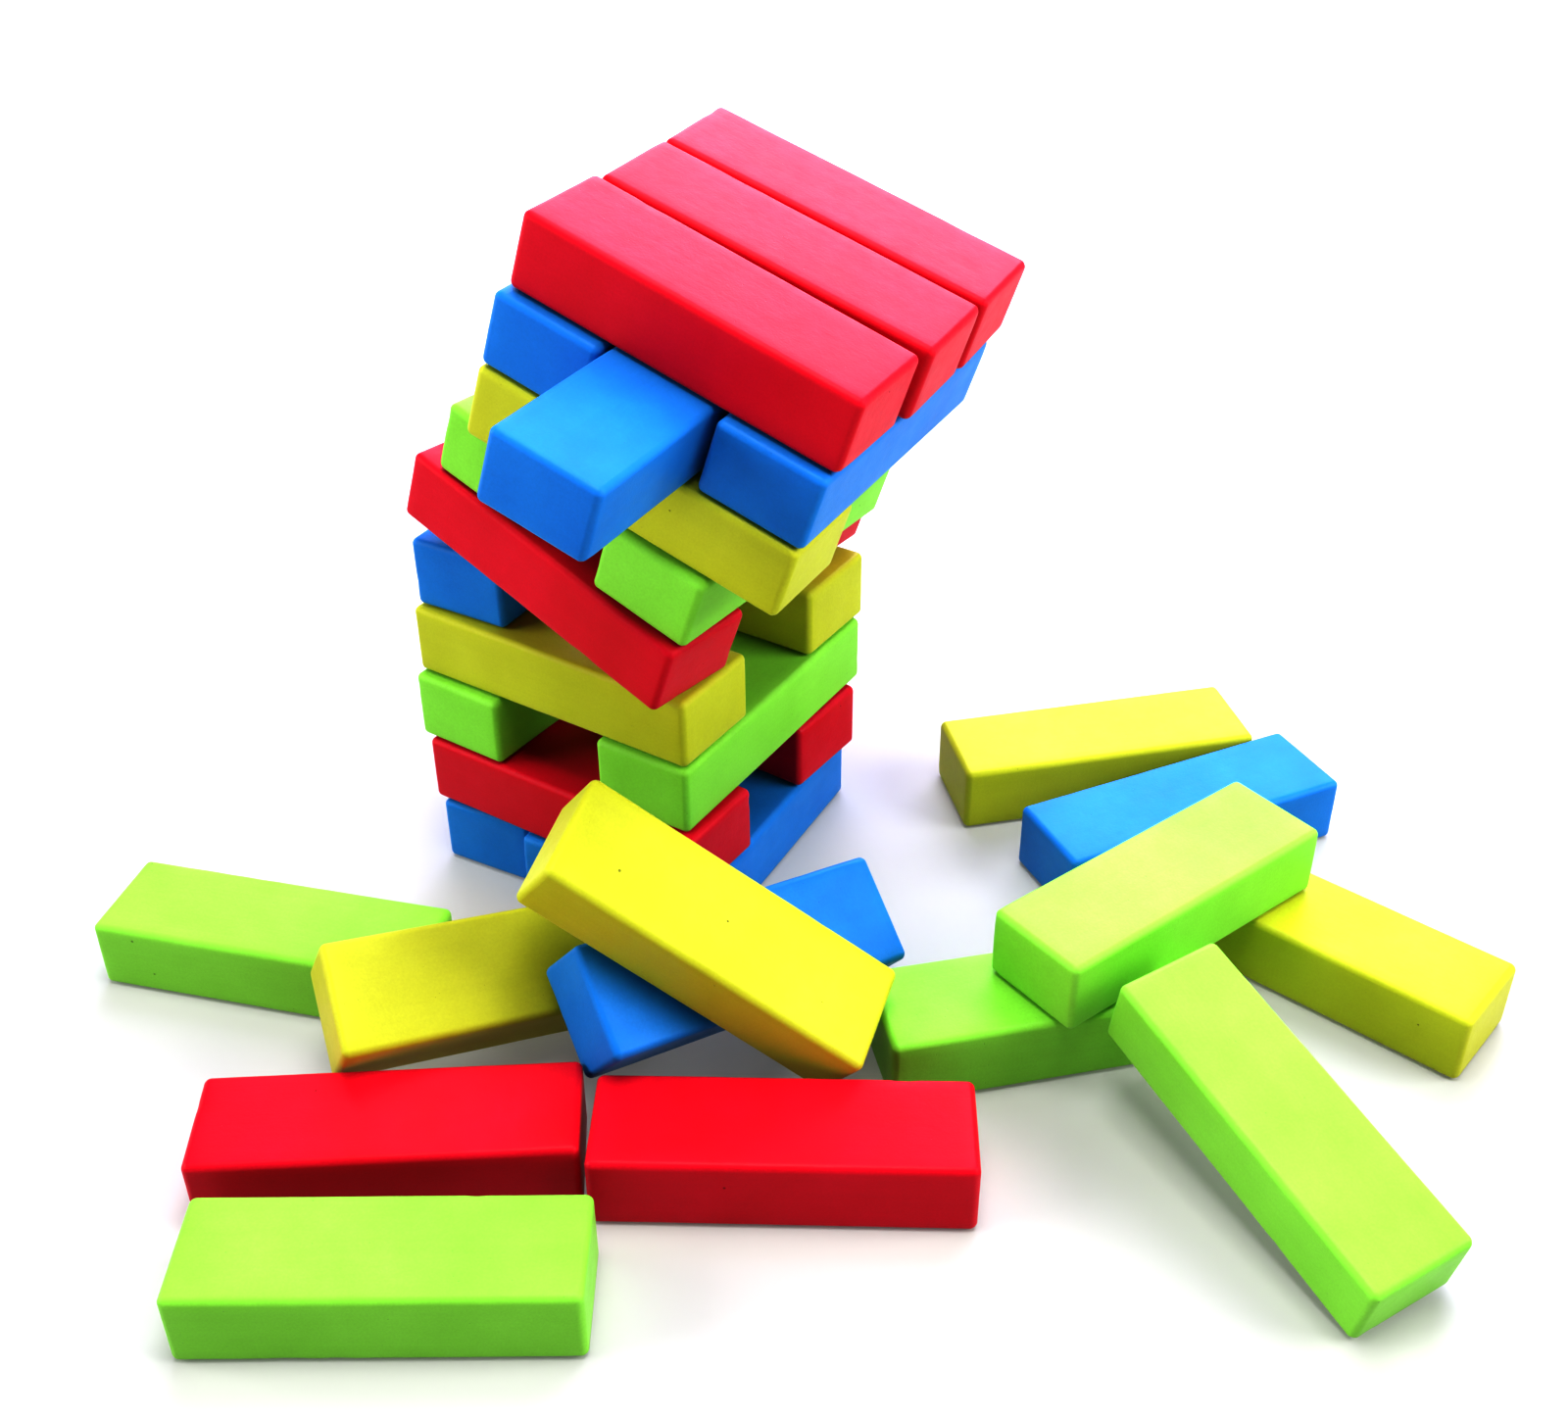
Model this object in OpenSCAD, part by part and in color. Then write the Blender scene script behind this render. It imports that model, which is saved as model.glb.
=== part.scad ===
// Giant tumbling tower: 36 soft foam blocks of one size, nine in each of four colours.
// Rows 1 to 5 stand upright, rows 6 to 10 have tipped together over the edge of the one
// block left in row 5, and thirteen more blocks lie and lean on the floor around them.
// Origin: the middle of the tower's bottom row, on the floor. X runs along the even rows,
// Y along the odd ones, Z is up.

/* [Block] */
// Length of every block
block_l = 240; // [180:1:320]
// Width of every block, a little under a third of its length
block_w = 78; // [60:1:106]
// Thickness of every block
block_t = 54; // [40:1:72]
// Radius of the rounded edges
edge_r = 5; // [2:0.5:10]

/* [Tower] */
// Clear space between two blocks that touch
gap = 0.4; // [0.2:0.1:1]
// Extra width of one place in a row, for the play between its blocks
row_play = 1.5; // [0.5:0.5:4]
// Tilt of the upper five rows
lean = 18.5; // [0:0.5:18.5]
// Turn of the upper five rows, and of the block that they tip over
lean_turn = 3; // [-5:0.5:5]
// Middle of the upper rows, measured down the slope from the edge that they tip over
upper_x = 91; // [60:1:120]
// Middle of the upper rows, measured across the slope from the tower's middle
upper_y = -20; // [-40:1:40]

/* [Floor] */
// Height of the lowest corner of the yellow block that lies on top of the front pile
pile_step = 23; // [0:1:60]

/* [View] */
// Which block to draw

/* [Hidden] */
$fn = 48;
place = block_w + row_play;
row_h = block_t + gap;

// One tower block a line: name, colour, row, slot, pulled, nudge, twist.
//   slot    -1, 0 or 1, counted from the left in an odd row and from the front in an even row
//   pulled  how far it has slid along its own length
//   nudge   how far it is off its slot sideways
//   twist   its turn against the other blocks
TOWER = [
    ["row_01_left_blue", "blue", 1, -1, 4, 0, 5],
    ["row_01_middle_blue", "blue", 1, 0, 0, 0, 5],
    ["row_01_right_blue", "blue", 1, 1, -4, 0, 5],
    ["row_02_front_red", "red", 2, -1, 5, 1, 0],
    ["row_02_rear_red", "red", 2, 1, -2, 2, -2],
    ["row_03_left_green", "green", 3, -1, 4, -2, -1],
    ["row_03_right_green", "green", 3, 1, 8, -1, 1],
    ["row_04_front_yellow", "yellow", 4, -1, -2, 9, 0],
    ["row_04_rear_yellow", "yellow", 4, 1, -6, 16, 0],
    ["row_05_left_blue", "blue", 5, -1, 17, -8, 3],
    ["row_06_front_red", "red", 6, -1, -42, -5, -8],
    ["row_06_rear_red", "red", 6, 1, -49, 36, -6],
    ["row_07_left_green", "green", 7, -1, 8, -15, -6],
    ["row_07_right_green", "green", 7, 1, -9, -36, -4],
    ["row_08_front_yellow", "yellow", 8, -1, 1, -6, 1],
    ["row_08_middle_yellow", "yellow", 8, 0, -29, 2, 0],
    ["row_08_rear_yellow", "yellow", 8, 1, -29, 6, 0],
    ["row_09_left_blue", "blue", 9, -1, -4, -2, 1],
    ["row_09_middle_blue", "blue", 9, 0, -115, 0, 1],
    ["row_09_right_blue", "blue", 9, 1, -1, 2, 1],
    ["row_10_front_red", "red", 10, -1, 4, 5, 1],
    ["row_10_middle_red", "red", 10, 0, 5, 8, 3],
    ["row_10_rear_red", "red", 10, 1, 1, 9, 4],
];

// One fallen block a line: name, colour, x, y, turn, pitch, roll, height of its lowest corner.
LOOSE = [
    ["loose_green_front", "green", 146, -460, 33, 0, 0, 0],
    ["loose_red_left", "red", 78, -381, 36, 0, 0, 0],
    ["loose_red_right", "red", 290, -255, 31, 0, 0, 0],
    ["loose_green_left", "green", -118, -286, 19, 0, 0, 0],
    ["loose_yellow_left", "yellow", 64, -251, 58, 8, 32.5, gap],
    ["loose_blue_middle", "blue", 188, -161, 69, 9.5, 38.5, 2 * gap],
    ["loose_yellow_front", "yellow", 199.5, -200, 23.5, 35, 19, pile_step],
    ["loose_green_middle", "green", 374, -53, 45, 0, 0, 0],
    ["loose_green_top", "green", 411, 33, 70, 0, 0, row_h],
    ["loose_green_near", "green", 550, -99, -27, 12.5, 4, gap],
    ["loose_blue_right", "blue", 367, 191, 57, 0, 0, 0],
    ["loose_yellow_right", "yellow", 511, 111, -8, 0, 0, 0],
    ["loose_yellow_far", "yellow", 274, 237, 45, 0, 0, 0],
];

// The edge that the upper rows tip over: the upper right edge of the block in row 5.
tip_x = -place - 8 + (block_w / 2 - edge_r) * cos(lean_turn);
tip_y = 17 + (block_w / 2 - edge_r) * sin(lean_turn);
tip_z = 4 * row_h + block_t - edge_r;

function paint(colour) =
    colour == "red" ? "#e8142c" :
    colour == "blue" ? "#1f5fe8" :
    colour == "green" ? "#7fe83a" : "#dfe63a";

// A slab with the outline a x b, its four corners rounded, h thick, centred.
module rounded_slab(a, b, h) {
    linear_extrude(height = h, center = true)
        union() {
            square([a - 2 * edge_r, b], center = true);
            square([a, b - 2 * edge_r], center = true);
            for (x = [-1, 1], y = [-1, 1])
                translate([x * (a / 2 - edge_r), y * (b / 2 - edge_r)])
                    circle(r = edge_r);
        }
}

// One solid foam block, rounded along all twelve edges.
module block() {
    intersection() {
        rounded_slab(block_l, block_w, block_t);
        rotate([90, 0, 0]) rounded_slab(block_l, block_t, block_w);
        rotate([0, 90, 0]) rounded_slab(block_t, block_w, block_l);
    }
}

// A block in its slot of its own row, for a row that starts at height zero.
module in_row(b) {
    across = b[2] % 2 == 1;
    aside = b[3] * place + b[5];
    translate(across ? [aside, b[4], block_t / 2] : [b[4], aside, block_t / 2])
        rotate([0, 0, b[6] + (across ? 90 : 0)])
            block();
}

// Turns the level upper rows into the tipped ones, about the edge that they lie on.
module tipped() {
    translate([tip_x, tip_y, tip_z])
        rotate([0, lean, lean_turn])
            translate([upper_x, upper_y, edge_r + gap])
                children();
}

module tower_block(b) {
    color(paint(b[1]))
        if (b[2] <= 5)
            translate([0, 0, (b[2] - 1) * row_h]) in_row(b);
        else
            tipped() translate([0, 0, (b[2] - 6) * row_h]) in_row(b);
}

// Half the height that a block takes up when it is pitched about Y and rolled about X.
function half_height(pitch, roll) =
    edge_r + (block_l / 2 - edge_r) * abs(sin(pitch))
    + (block_w / 2 - edge_r) * abs(cos(pitch) * sin(roll))
    + (block_t / 2 - edge_r) * abs(cos(pitch) * cos(roll));

module loose_block(b) {
    color(paint(b[1]))
        translate([b[2], b[3], b[7] + half_height(b[5], b[6])])
            rotate([b[6], b[5], b[4]])
                block();
}

for (b = TOWER)
    tower_block(b);
for (b = LOOSE)
    loose_block(b);
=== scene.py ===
"""A giant tumbling tower, caught as it falls: thirty-six blocks of EVA foam, each its own piece.

Lengths are in metres, in the frame of the CAD model: X toward the side the tower leans to, Y away
from the viewer, Z up, with the origin in the middle of the bottom row on the floor.
"""

import math
import random

import bpy
import numpy as np
from mathutils import Matrix, Vector, noise


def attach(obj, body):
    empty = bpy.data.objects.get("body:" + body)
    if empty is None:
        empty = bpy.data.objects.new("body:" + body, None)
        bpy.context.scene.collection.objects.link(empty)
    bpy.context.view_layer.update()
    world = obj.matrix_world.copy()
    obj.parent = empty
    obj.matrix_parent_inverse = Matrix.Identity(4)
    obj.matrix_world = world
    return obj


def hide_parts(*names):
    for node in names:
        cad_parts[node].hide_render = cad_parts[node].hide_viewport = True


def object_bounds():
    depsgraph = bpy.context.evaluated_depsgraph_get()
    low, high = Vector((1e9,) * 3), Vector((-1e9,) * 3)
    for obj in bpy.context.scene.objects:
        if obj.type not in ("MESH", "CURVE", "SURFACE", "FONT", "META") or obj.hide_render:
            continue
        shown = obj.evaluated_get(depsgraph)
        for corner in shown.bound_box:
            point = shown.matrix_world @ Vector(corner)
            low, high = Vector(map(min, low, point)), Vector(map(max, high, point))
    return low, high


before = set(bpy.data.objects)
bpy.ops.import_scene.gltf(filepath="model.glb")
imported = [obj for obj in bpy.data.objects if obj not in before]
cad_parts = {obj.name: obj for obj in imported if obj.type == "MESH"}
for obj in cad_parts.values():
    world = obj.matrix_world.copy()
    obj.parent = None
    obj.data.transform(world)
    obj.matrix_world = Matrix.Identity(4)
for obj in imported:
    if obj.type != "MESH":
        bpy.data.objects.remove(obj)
cad_low, cad_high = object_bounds()

# ---------------------------------------------------------------- camera
EYE = Vector((0.7225, -0.9222, 0.9012))
HEADING = math.radians(32.84)  # turned from +Y toward -X
TILT = math.radians(34.22)  # below the horizon
ROLL = -0.0057
LENS = 42.2  # focal length and sensor width in millimetres
SENSOR = 36.0
CLIP = (0.02, 60.0)  # nearest and farthest distance drawn

ahead = Vector(
    (
        -math.sin(HEADING) * math.cos(TILT),
        math.cos(HEADING) * math.cos(TILT),
        -math.sin(TILT),
    )
)
level = Vector((math.cos(HEADING), math.sin(HEADING), 0.0))
upright = level.cross(ahead)
right = level * math.cos(ROLL) + upright * math.sin(ROLL)
up = upright * math.cos(ROLL) - level * math.sin(ROLL)
camera_data = bpy.data.cameras.new("camera")
camera_data.lens = LENS
camera_data.sensor_width = SENSOR
camera_data.clip_start, camera_data.clip_end = CLIP
camera = bpy.data.objects.new("camera", camera_data)
facing = Matrix((right, up, -ahead)).transposed().to_4x4()
camera.matrix_world = Matrix.Translation(EYE) @ facing
bpy.context.scene.collection.objects.link(camera)
bpy.context.scene.camera = camera

# ---------------------------------------------------------------- foam block shape
EDGE_RADIUS = 0.005  # of the rounding along every edge
ARC_STEPS = 3  # lattice steps from a face to the middle of a rounding
FLAT_STEPS = (32, 10, 7)  # along a block's length, width and thickness
FIRST_SEED = 1000  # of the random draws for the first block
NOISE_REACH = 40  # how far each block's place in the noise may be shifted

# waves in the surface: (noise per metre, depth)
SLOW_WAVE = (13, 0.00030)
FAST_WAVE = (41, 0.00012)
EDGE_RIPPLE = (60, 0.0009)  # times how rounded the place is
SPOT_REACH = 0.85  # share of a face that dents may lie on
DENTS = 5
DENT_RADIUS = (0.010, 0.022)
DENT_DEPTH = (0.00015, 0.0004)
NICKS = 4
NICK_RADIUS = (0.006, 0.010)
NICK_DEPTH = (0.0003, 0.0008)
WEAR_GAIN = 3.2  # makes a rounded edge fully worn
LEAST_WEAR = 0.55  # where the ripple is lowest


def stations(half, steps):
    """Lattice places along one side, as (place on the core, offset from it).
    The rounding is cut in equal angles."""
    core = half - EDGE_RADIUS
    low = [
        (-core, -math.tan(math.pi / 4 * (1 - i / ARC_STEPS))) for i in range(ARC_STEPS)
    ]
    flat = [(-core + 2 * core * i / steps, 0.0) for i in range(steps + 1)]
    high = [(-c, -o) for c, o in reversed(low)]
    return low + flat + high


def rounded_box(halves):
    """Vertices, outward directions and faces of a box with rounded edges, on one lattice."""
    rows = [stations(h, s) for h, s in zip(halves, FLAT_STEPS)]
    last = [len(r) - 1 for r in rows]
    index, points, directions, faces = {}, [], [], []

    def vertex(key):
        if key not in index:
            core = Vector([rows[k][key[k]][0] for k in range(3)])
            offset = Vector([rows[k][key[k]][1] for k in range(3)]).normalized()
            index[key] = len(points)
            points.append(core + offset * EDGE_RADIUS)
            directions.append(offset)
        return index[key]

    for k in range(3):
        a, b = (k + 1) % 3, (k + 2) % 3
        for side in (0, last[k]):
            for i in range(last[a]):
                for j in range(last[b]):
                    corners = []
                    for di, dj in ((0, 0), (1, 0), (1, 1), (0, 1)):
                        key = [0, 0, 0]
                        key[k], key[a], key[b] = side, i + di, j + dj
                        corners.append(vertex(tuple(key)))
                    faces.append(corners if side else corners[::-1])
    return points, directions, faces


def soften(points, directions, halves, seed):
    """Moves the surface inward by fractions of a millimetre, as on cut foam: slow waves, uneven
    edges, dents and nicks. Gives the new points and how worn each one is, 0 on a face and up to 1
    on an edge or corner."""
    draw = random.Random(seed)
    shift = Vector([draw.uniform(-NOISE_REACH, NOISE_REACH) for _ in range(3)])
    hollows = []
    for _ in range(DENTS):  # in the long faces, the widest ones twice as often
        k = draw.choice((1, 2, 2))
        place = [draw.uniform(-SPOT_REACH, SPOT_REACH) * h for h in halves]
        place[k] = draw.choice((-1, 1)) * halves[k]
        hollows.append((Vector(place), draw.uniform(*DENT_RADIUS), draw.uniform(*DENT_DEPTH)))
    for _ in range(NICKS):  # along the edges, and at the corners
        place = [draw.choice((-1, 1)) * h for h in halves]
        k = draw.randrange(3)
        place[k] *= draw.uniform(0.2, 1.0)
        hollows.append((Vector(place), draw.uniform(*NICK_RADIUS), draw.uniform(*NICK_DEPTH)))
    moved, wear = [], []
    for p, n in zip(points, directions):
        rounding = 1.0 - max(abs(c) for c in n)  # 0 on a face, 0.29 along an edge, 0.42 at a corner
        slow = 0.5 + 0.5 * noise.noise(p * SLOW_WAVE[0] + shift)
        fast = 0.5 + 0.5 * noise.noise(p * FAST_WAVE[0] - shift)
        ripple = 0.5 + 0.5 * noise.noise(p * EDGE_RIPPLE[0] + shift * 2)
        depth = SLOW_WAVE[1] * slow + FAST_WAVE[1] * fast + EDGE_RIPPLE[1] * rounding * ripple
        for centre, radius, deep in hollows:
            distance = (p - centre).length / radius
            if distance < 1:
                depth += deep * (1 - distance * distance) ** 2
        moved.append(p - n * depth)
        worn = min(1.0, rounding * WEAR_GAIN)
        wear.append(worn * (LEAST_WEAR + (1.0 - LEAST_WEAR) * ripple))
    return moved, wear


def block_axes(node):
    """The block's own axes (length, width, thickness), half sizes and centre, from its CAD mesh.
    The widest faces look along the thickness and the smallest along the length, so the area that
    looks along each direction tells the axes apart."""
    co = np.array([v.co for v in node.data.vertices], float).reshape(-1, 3)
    normals = np.array([p.normal for p in node.data.polygons], float).reshape(-1, 3)
    areas = np.array([p.area for p in node.data.polygons], float)
    _, vectors = np.linalg.eigh((normals * areas[:, None]).T @ normals)
    axes = vectors.T.copy()
    for axis in axes[:2]:
        if axis[np.abs(axis).argmax()] < 0:
            axis *= -1
    axes[2] = np.cross(axes[0], axes[1])
    along = co @ axes.T
    centre = (along.min(0) + along.max(0)) / 2 @ axes
    halves = (along.max(0) - along.min(0)) / 2
    return axes, halves, centre


# ---------------------------------------------------------------- foam material
PAINTS = {
    # linear colours: the base, and its paler and deeper variations
    "red": ((0.560, 0.002, 0.024), (0.600, 0.004, 0.033), (0.520, 0.001, 0.018)),
    "blue": ((0.012, 0.212, 0.600), (0.017, 0.240, 0.640), (0.009, 0.186, 0.555)),
    "green": ((0.272, 0.620, 0.078), (0.296, 0.660, 0.090), (0.246, 0.575, 0.066)),
    "yellow": ((0.490, 0.505, 0.036), (0.520, 0.538, 0.045), (0.455, 0.468, 0.028)),
}
SEED_STEP = 3.7  # between two blocks' places in the materials' fourth dimension

# noise scales, per metre
CLOUD_SCALE = 16.0
BLOTCH_SCALE = 70.0
GRAIN_SCALE = 620.0
STREAK_SCALE = 210.0
STREAK_STRETCH = 0.035  # along the block
# round holes in the foam: (cells per metre, smallest radius, largest radius, share of cells)
PORES = (90.0, 0.0005, 0.0013, 0.4)
PINHOLES = (330.0, 0.0002, 0.0006, 0.4)
# how strongly each shows in the colour; the holes carry painted shade, and their second number is
# how dark it is next to the deep colour
WORN_TINT = 0.35
PINHOLE_SHADE_MIX, PINHOLE_PAINTED_SHADE = 0.30, 0.30
PORE_SHADE_MIX, PORE_PAINTED_SHADE = 0.60, 0.18
# height of each in the bump
GRAIN_HEIGHT = 0.00007
STREAK_HEIGHT = 0.00008
BLOTCH_HEIGHT = 0.00022
PINHOLE_HEIGHT = 0.00012
PORE_HEIGHT = 0.0005
ROUGHNESS = (0.40, 0.47)


class Nodes:
    """Short calls for building one material's node tree."""

    def __init__(self, name):
        self.material = bpy.data.materials.new(name)
        self.material.use_nodes = True
        self.tree = self.material.node_tree
        self.tree.nodes.clear()
        self.output = self.tree.nodes.new("ShaderNodeOutputMaterial")

    def add(self, kind, sockets=None, **settings):
        node = self.tree.nodes.new(kind)
        for key, value in settings.items():
            setattr(node, key, value)
        for key, value in (sockets or {}).items():
            if isinstance(value, bpy.types.NodeSocket):
                self.tree.links.new(value, node.inputs[key])
            else:
                node.inputs[key].default_value = value
        return node

    def math(self, operation, a, b, clamp=False):
        node = self.add("ShaderNodeMath", {0: a, 1: b}, operation=operation, use_clamp=clamp)
        return node.outputs[0]

    def span(self, value, low, high, to_low=0.0, to_high=1.0, smooth=False):
        ends = {"From Min": low, "From Max": high, "To Min": to_low, "To Max": to_high}
        node = self.add(
            "ShaderNodeMapRange",
            {"Value": value, **ends},
            interpolation_type="SMOOTHSTEP" if smooth else "LINEAR",
        )
        return node.outputs["Result"]

    def blend(self, factor, a, b, mode="MIX"):
        node = self.add("ShaderNodeMix", data_type="RGBA", blend_type=mode)
        for k, value in ((0, factor), (6, a), (7, b)):  # the factor and the two colours
            socket = node.inputs[k]
            if isinstance(value, bpy.types.NodeSocket):
                self.tree.links.new(value, socket)
            else:
                socket.default_value = value if isinstance(value, float) else (*value, 1.0)
        return node.outputs[2]


def foam(name, base, pale, deep):
    """Closed-cell EVA foam: mottled colour, fine grain, slicing streaks, pores darkened with
    painted shade, softly worn edges and satin gloss."""
    n = Nodes("foam_" + name)
    place = n.add("ShaderNodeTexCoord").outputs["Object"]
    seed = n.add("ShaderNodeAttribute", attribute_name="block_seed").outputs["Fac"]
    wear = n.add("ShaderNodeAttribute", attribute_name="edge_wear").outputs["Fac"]

    def noise4(scale, detail, vector=place, rough=0.55):
        return n.add(
            "ShaderNodeTexNoise",
            {"Vector": vector, "W": seed, "Scale": scale, "Detail": detail, "Roughness": rough},
            noise_dimensions="4D",
        ).outputs["Fac"]

    clouds = noise4(CLOUD_SCALE, 3.0)
    blotches = noise4(BLOTCH_SCALE, 4.0, rough=0.65)
    grain = noise4(GRAIN_SCALE, 2.0)
    stretched = n.add(
        "ShaderNodeMapping", {"Vector": place, "Scale": (STREAK_STRETCH, 1.0, 1.0)}
    ).outputs["Vector"]
    streaks = noise4(STREAK_SCALE, 3.0, stretched)

    def holes(scale, smallest, largest, share):
        """1 inside scattered round pores of the given radii, in one cell out of a few."""
        cells = n.add(
            "ShaderNodeTexVoronoi",
            {"Vector": place, "W": seed, "Scale": scale, "Randomness": 1.0},
            voronoi_dimensions="4D",
            feature="F1",
        )
        pick = n.add("ShaderNodeSeparateColor", {"Color": cells.outputs["Color"]})
        radius = n.span(pick.outputs[0], 1.0 - share, 1.0, smallest * scale, largest * scale)
        chosen = n.math("GREATER_THAN", pick.outputs[0], 1.0 - share)
        outward = n.math("DIVIDE", cells.outputs["Distance"], radius)
        inside = n.math("SUBTRACT", 1.0, outward, clamp=True)
        return n.math("MULTIPLY", chosen, n.span(inside, 0.0, 0.45, smooth=True))

    pores = holes(*PORES)
    pinholes = holes(*PINHOLES)

    tone = n.blend(n.span(clouds, 0.32, 0.68), deep, pale)
    tone = n.blend(n.span(blotches, 0.35, 0.65, 0.0, 0.5), tone, base)
    tone = n.blend(n.math("MULTIPLY", wear, WORN_TINT), tone, pale)
    shade = n.add("ShaderNodeCombineColor")
    speckle = n.math(
        "ADD",
        n.span(grain, 0.3, 0.7, 0.96, 1.03),
        n.span(streaks, 0.3, 0.7, -0.015, 0.015),
    )
    for k in range(3):
        n.tree.links.new(speckle, shade.inputs[k])
    tone = n.blend(1.0, tone, shade.outputs[0], "MULTIPLY")
    # painted shade: pinholes and pores are filled with a darkened deep colour that stands for the
    # shade inside them
    painted_hole_shade = tuple(c * PINHOLE_PAINTED_SHADE for c in deep)
    tone = n.blend(n.math("MULTIPLY", pinholes, PINHOLE_SHADE_MIX), tone, painted_hole_shade)
    painted_hole_shade = tuple(c * PORE_PAINTED_SHADE for c in deep)
    tone = n.blend(n.math("MULTIPLY", pores, PORE_SHADE_MIX), tone, painted_hole_shade)

    worn_rough = n.math("MULTIPLY", wear, 0.06)
    rough = n.math("ADD", n.span(blotches, 0.3, 0.7, *ROUGHNESS), worn_rough)
    rough = n.math("ADD", rough, n.math("MULTIPLY", pores, 0.3), clamp=True)

    height = n.math("MULTIPLY", grain, GRAIN_HEIGHT)
    height = n.math("ADD", height, n.math("MULTIPLY", streaks, STREAK_HEIGHT))
    height = n.math("ADD", height, n.math("MULTIPLY", blotches, BLOTCH_HEIGHT))
    height = n.math("SUBTRACT", height, n.math("MULTIPLY", pinholes, PINHOLE_HEIGHT))
    height = n.math("SUBTRACT", height, n.math("MULTIPLY", pores, PORE_HEIGHT))
    bump = n.add(
        "ShaderNodeBump", {"Height": height, "Strength": 1.0, "Distance": 1.0}
    ).outputs["Normal"]

    shader = n.add(
        "ShaderNodeBsdfPrincipled",
        {
            "Base Color": tone,
            "Roughness": rough,
            "Normal": bump,
            "IOR": 1.5,
            "Specular IOR Level": 0.18,
            "Sheen Weight": 0.045,
            "Sheen Roughness": 0.45,
            "Sheen Tint": (1.0, 1.0, 1.0, 1.0),
        },
    )
    n.tree.links.new(shader.outputs[0], n.output.inputs["Surface"])
    return n.material


FOAMS = {name: foam(name, *paints) for name, paints in PAINTS.items()}

# ---------------------------------------------------------------- the blocks
for number, (name, node) in enumerate(sorted(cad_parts.items())):
    colour = next(c for c in PAINTS if c in name.split("_"))
    axes, halves, centre = block_axes(node)
    points, directions, faces = rounded_box(halves)
    points, wear = soften(points, directions, halves, FIRST_SEED + number)
    mesh = bpy.data.meshes.new(name + "_foam")
    mesh.from_pydata([tuple(p) for p in points], [], faces)
    mesh.shade_smooth()
    mesh.attributes.new("edge_wear", "FLOAT", "POINT").data.foreach_set("value", wear)
    seeds = [SEED_STEP * number] * len(points)
    mesh.attributes.new("block_seed", "FLOAT", "POINT").data.foreach_set("value", seeds)
    mesh.materials.append(FOAMS[colour])
    piece = bpy.data.objects.new(name + "_foam", mesh)
    bpy.context.scene.collection.objects.link(piece)
    turn = Matrix([tuple(a) for a in axes]).transposed().to_4x4()
    piece.matrix_world = Matrix.Translation(centre) @ turn
    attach(piece, name)
    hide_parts(name)

# ---------------------------------------------------------------- floor, light and world
FLOOR_SIDE = 40.0
FLOOR_DROP = 0.0004  # below the lowest block, so that the two don't flicker
NEAR_FLOOR = ((0.39, 0.39, 0.385), (0.41, 0.41, 0.405))
FAR_FLOOR = (0.85, 0.85, 0.85)
PALER_FROM, PALER_TO = 0.8, 3.0  # distances over which the floor turns to its far colour
GLOW_FROM, GLOW_TO = 1.5, 5.5  # distances over which its faint glow rises
LEAST_GLOW, MOST_GLOW = 0.15, 0.8  # it keeps the shadows pale, and the far floor bright
floor_mesh = bpy.data.meshes.new("floor")
half = FLOOR_SIDE / 2
floor_mesh.from_pydata(
    [(-half, -half, 0), (half, -half, 0), (half, half, 0), (-half, half, 0)],
    [],
    [(0, 1, 2, 3)],
)
floor = bpy.data.objects.new("floor", floor_mesh)
floor.location.z = cad_low.z - FLOOR_DROP
bpy.context.scene.collection.objects.link(floor)
ground = Nodes("pale_floor")
place = ground.add("ShaderNodeTexCoord").outputs["Object"]
cloud = ground.add(
    "ShaderNodeTexNoise", {"Vector": place, "Scale": 0.8, "Detail": 2.0}
).outputs["Fac"]
distance = ground.add("ShaderNodeVectorMath", {0: place}, operation="LENGTH").outputs["Value"]
spread = ground.span(distance, PALER_FROM, PALER_TO, smooth=True)
near = ground.blend(cloud, *NEAR_FLOOR)
glow = ground.span(distance, GLOW_FROM, GLOW_TO, LEAST_GLOW, MOST_GLOW, smooth=True)
ground.tree.links.new(
    ground.add(
        "ShaderNodeBsdfPrincipled",
        {
            "Base Color": ground.blend(spread, near, FAR_FLOOR),
            "Roughness": 0.8,
            "Emission Color": (1.0, 1.0, 1.0, 1.0),
            "Emission Strength": glow,
        },
    ).outputs[0],
    ground.output.inputs["Surface"],
)
floor_mesh.materials.append(ground.material)

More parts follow.
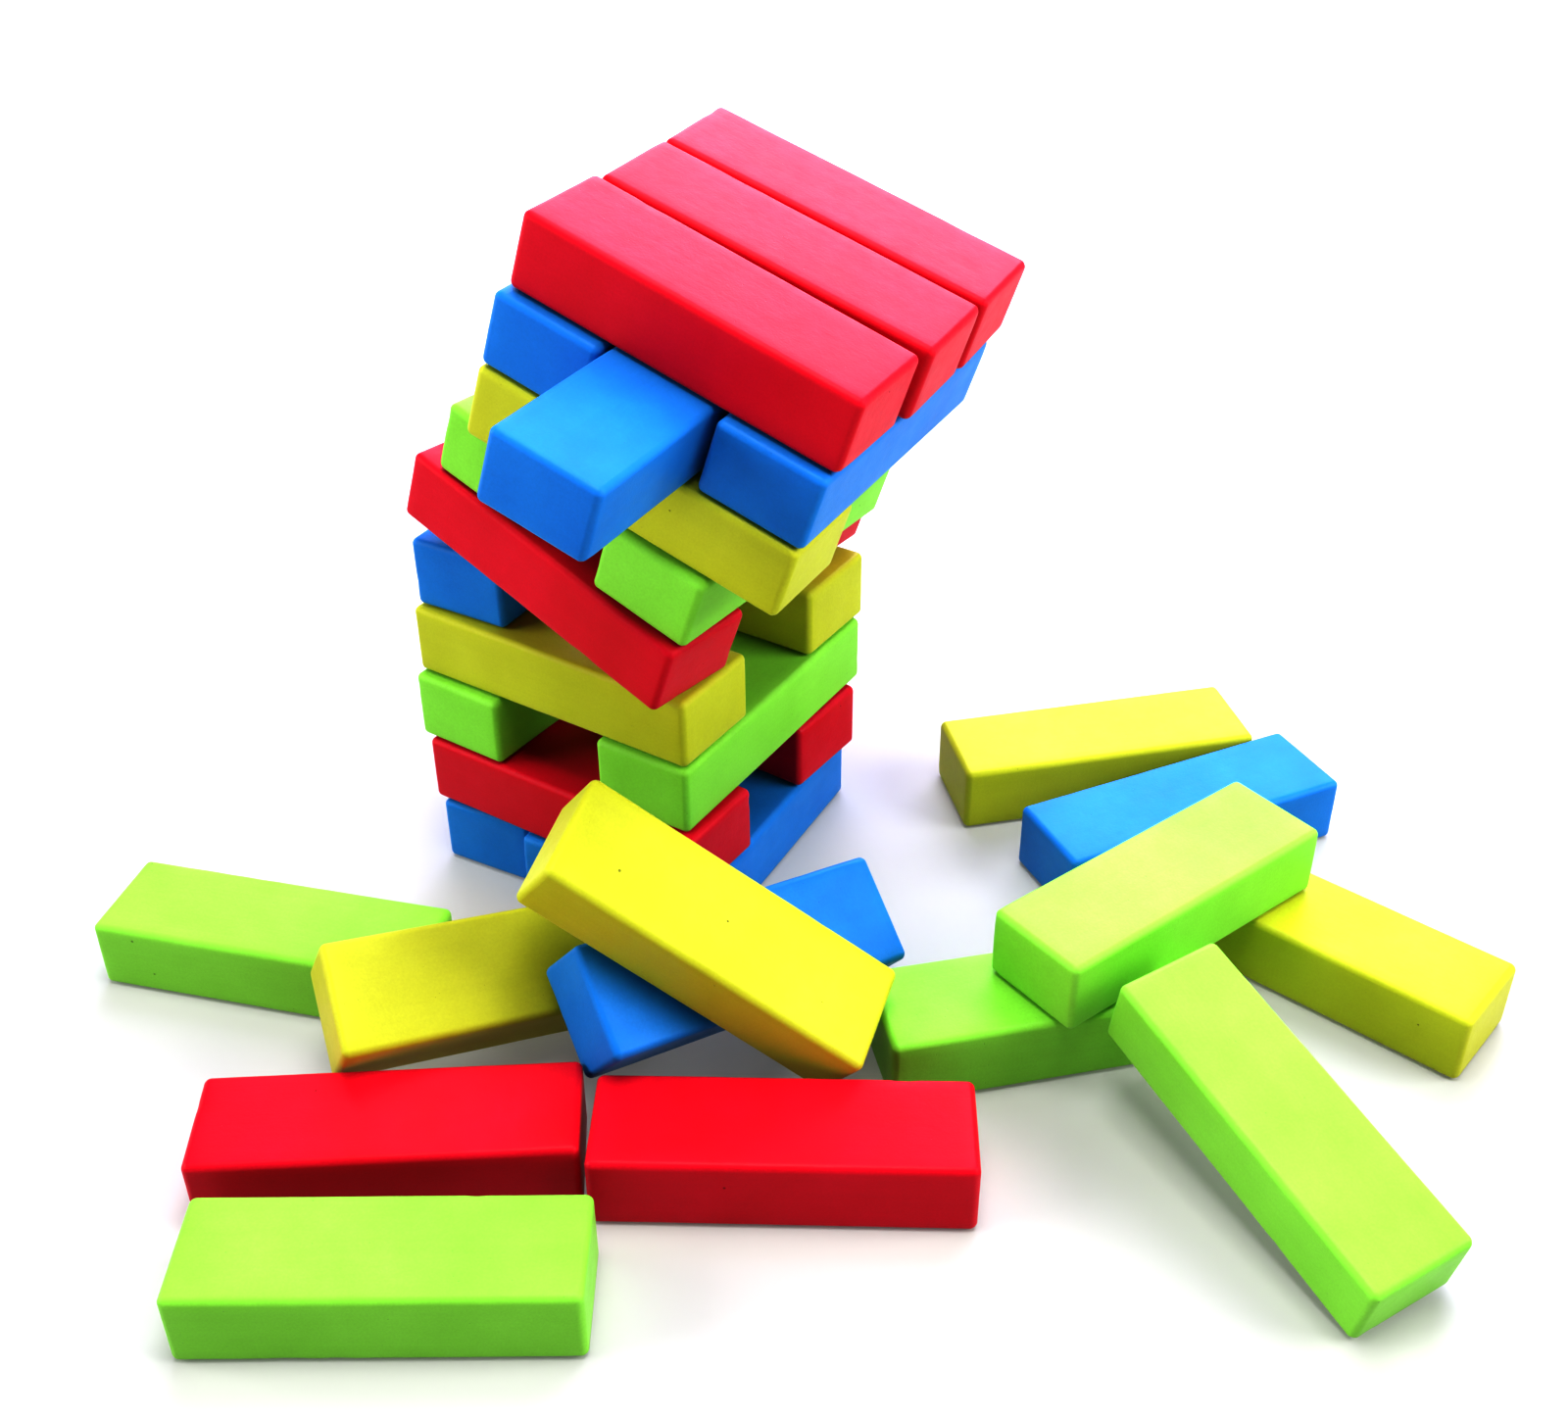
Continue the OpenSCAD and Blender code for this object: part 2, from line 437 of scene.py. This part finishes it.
PLAIN = (1.0, 0.99, 0.97)  # light colours
COOL = (0.78, 0.75, 1.0)
COOLER = (0.76, 0.73, 1.0)


def softbox(name, place, target, size, watts, tint):
    """A rectangular lamp at a place, facing a target."""
    data = bpy.data.lights.new(name, "AREA")
    data.shape = "RECTANGLE"
    data.size, data.size_y = size
    data.energy = watts
    data.color = tint
    lamp = bpy.data.objects.new(name, data)
    lamp.location = place
    lamp.rotation_mode = "QUATERNION"
    lamp.rotation_quaternion = (Vector(target) - Vector(place)).to_track_quat("-Z", "Y")
    bpy.context.scene.collection.objects.link(lamp)


middle = (cad_low + cad_high) / 2
softbox("main", (-0.6, 1.7, 2.5), middle, (3.2, 2.4), 138.0, COOL)
softbox("overhead", (0.45, -0.35, 3.2), (0.3, -0.3, 0.0), (1.5, 1.5), 108.0, PLAIN)
softbox("back", (-0.9, 2.9, 1.7), middle, (2.8, 1.1), 86.0, COOLER)
softbox("right", (2.7, 0.9, 1.8), middle, (1.8, 1.6), 106.0, PLAIN)
softbox("left", (-3.1, -2.6, 2.1), (0.2, 0.0, 0.2), (3.2, 2.0), 190.0, PLAIN)

world = bpy.data.worlds.new("studio")
world.use_nodes = True
background = world.node_tree.nodes["Background"]
background.inputs["Color"].default_value = (0.96, 0.97, 1.0, 1.0)
coordinates = world.node_tree.nodes.new("ShaderNodeTexCoord")
parts = world.node_tree.nodes.new("ShaderNodeSeparateXYZ")
fade = world.node_tree.nodes.new("ShaderNodeMapRange")
fade.interpolation_type = "SMOOTHSTEP"
# pale up to 7 degrees above the horizon, dim from 25 degrees on (as sines)
for socket, value in zip(("From Min", "From Max", "To Min", "To Max"), (0.12, 0.42, 0.88, 0.08)):
    fade.inputs[socket].default_value = value
world.node_tree.links.new(coordinates.outputs["Generated"], parts.inputs["Vector"])
world.node_tree.links.new(parts.outputs["Z"], fade.inputs["Value"])
world.node_tree.links.new(fade.outputs["Result"], background.inputs["Strength"])
bpy.context.scene.world = world
bpy.context.scene.view_settings.view_transform = "Standard"
bpy.context.scene.view_settings.gamma = 0.60
